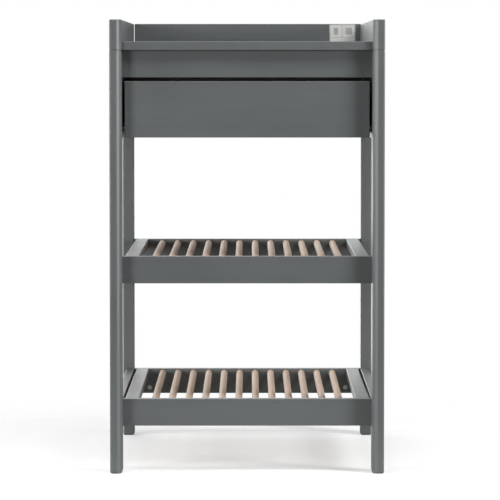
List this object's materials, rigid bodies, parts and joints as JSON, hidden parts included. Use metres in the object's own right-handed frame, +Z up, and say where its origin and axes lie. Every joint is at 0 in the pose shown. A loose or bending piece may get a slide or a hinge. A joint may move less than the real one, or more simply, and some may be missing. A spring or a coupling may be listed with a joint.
{
  "type": "changing table",
  "caption": "Tall narrow changing table: guarded tray on top, a handleless drawer under it and two open shelves of round wooden slats between straight legs.",
  "frame": {"origin": "on the floor, midway between the four legs", "axes": "+Z up, front of the table facing -Y, +X to the right seen from the front"},
  "size_m": [0.565, 0.72, 0.935],
  "materials": {
    "grey_lacquer": "satin grey lacquer over beech and fibreboard",
    "natural_beech": "clear matt lacquer on round beech",
    "zinc_steel": "bright zinc plating",
    "grey_foil": "grey foil over board",
    "white_nylon": "moulded nylon",
    "label_film": "plain silver-grey adhesive film"
  },
  "bodies": {
    "table": {"front_left_leg": "grey_lacquer", "front_right_leg": "grey_lacquer", "rear_left_leg": "grey_lacquer", "rear_right_leg": "grey_lacquer", "left_guard": "grey_lacquer", "right_guard": "grey_lacquer", "back_guard": "grey_lacquer", "tray_board": "grey_lacquer", "left_side_panel": "grey_lacquer", "right_side_panel": "grey_lacquer", "rear_panel": "grey_lacquer", "apron": "grey_lacquer", "left_stretcher": "grey_lacquer", "right_stretcher": "grey_lacquer", "upper_front_rail": "grey_lacquer", "upper_rear_rail": "grey_lacquer", "lower_front_rail": "grey_lacquer", "lower_rear_rail": "grey_lacquer", "upper_left_batten": "grey_lacquer", "upper_right_batten": "grey_lacquer", "lower_left_batten": "grey_lacquer", "lower_right_batten": "grey_lacquer", "upper_slats": "natural_beech", "lower_slats": "natural_beech", "wood_dowels": "natural_beech", "connector_bolts": "zinc_steel", "barrel_nuts": "zinc_steel", "back_guard_screws": "zinc_steel", "left_cabinet_runner": "zinc_steel", "right_cabinet_runner": "zinc_steel", "cabinet_roller_pins": "zinc_steel", "cabinet_runner_screws": "zinc_steel", "guard_label": "label_film"},
    "drawer": {"drawer_front": "grey_lacquer", "drawer_back": "grey_foil", "left_drawer_side": "grey_foil", "right_drawer_side": "grey_foil", "drawer_floor": "grey_foil", "drawer_cams": "zinc_steel", "drawer_cam_pins": "zinc_steel", "drawer_back_screws": "zinc_steel", "left_drawer_runner": "zinc_steel", "right_drawer_runner": "zinc_steel", "drawer_roller_pins": "zinc_steel", "drawer_runner_screws": "zinc_steel"},
    "left_front_roller": {"left_front_roller": "white_nylon"},
    "left_rear_roller": {"left_rear_roller": "white_nylon"},
    "right_front_roller": {"right_front_roller": "white_nylon"},
    "right_rear_roller": {"right_rear_roller": "white_nylon"}
  },
  "joints": [
    {"name": "drawer_slide", "type": "slide", "parent": "table", "child": "drawer", "axis": [0, -1, 0], "range_m": [0, 0.38]},
    {"name": "left_front_roller_spin", "type": "hinge", "parent": "table", "child": "left_front_roller", "pos_m": [-0.2507, -0.293, 0.7125], "axis": [1, 0, 0], "continuous": true},
    {"name": "left_rear_roller_spin", "type": "hinge", "parent": "drawer", "child": "left_rear_roller", "pos_m": [-0.2507, 0.178, 0.7125], "axis": [1, 0, 0], "continuous": true},
    {"name": "right_front_roller_spin", "type": "hinge", "parent": "table", "child": "right_front_roller", "pos_m": [0.2507, -0.293, 0.7125], "axis": [1, 0, 0], "continuous": true},
    {"name": "right_rear_roller_spin", "type": "hinge", "parent": "drawer", "child": "right_rear_roller", "pos_m": [0.2507, 0.178, 0.7125], "axis": [1, 0, 0], "continuous": true}
  ],
  "couplings": [
    {"joint": "left_front_roller_spin", "follows": "drawer_slide", "rad_per_m": 94.34},
    {"joint": "left_rear_roller_spin", "follows": "drawer_slide", "rad_per_m": 125},
    {"joint": "right_front_roller_spin", "follows": "drawer_slide", "rad_per_m": 94.34},
    {"joint": "right_rear_roller_spin", "follows": "drawer_slide", "rad_per_m": 125}
  ]
}
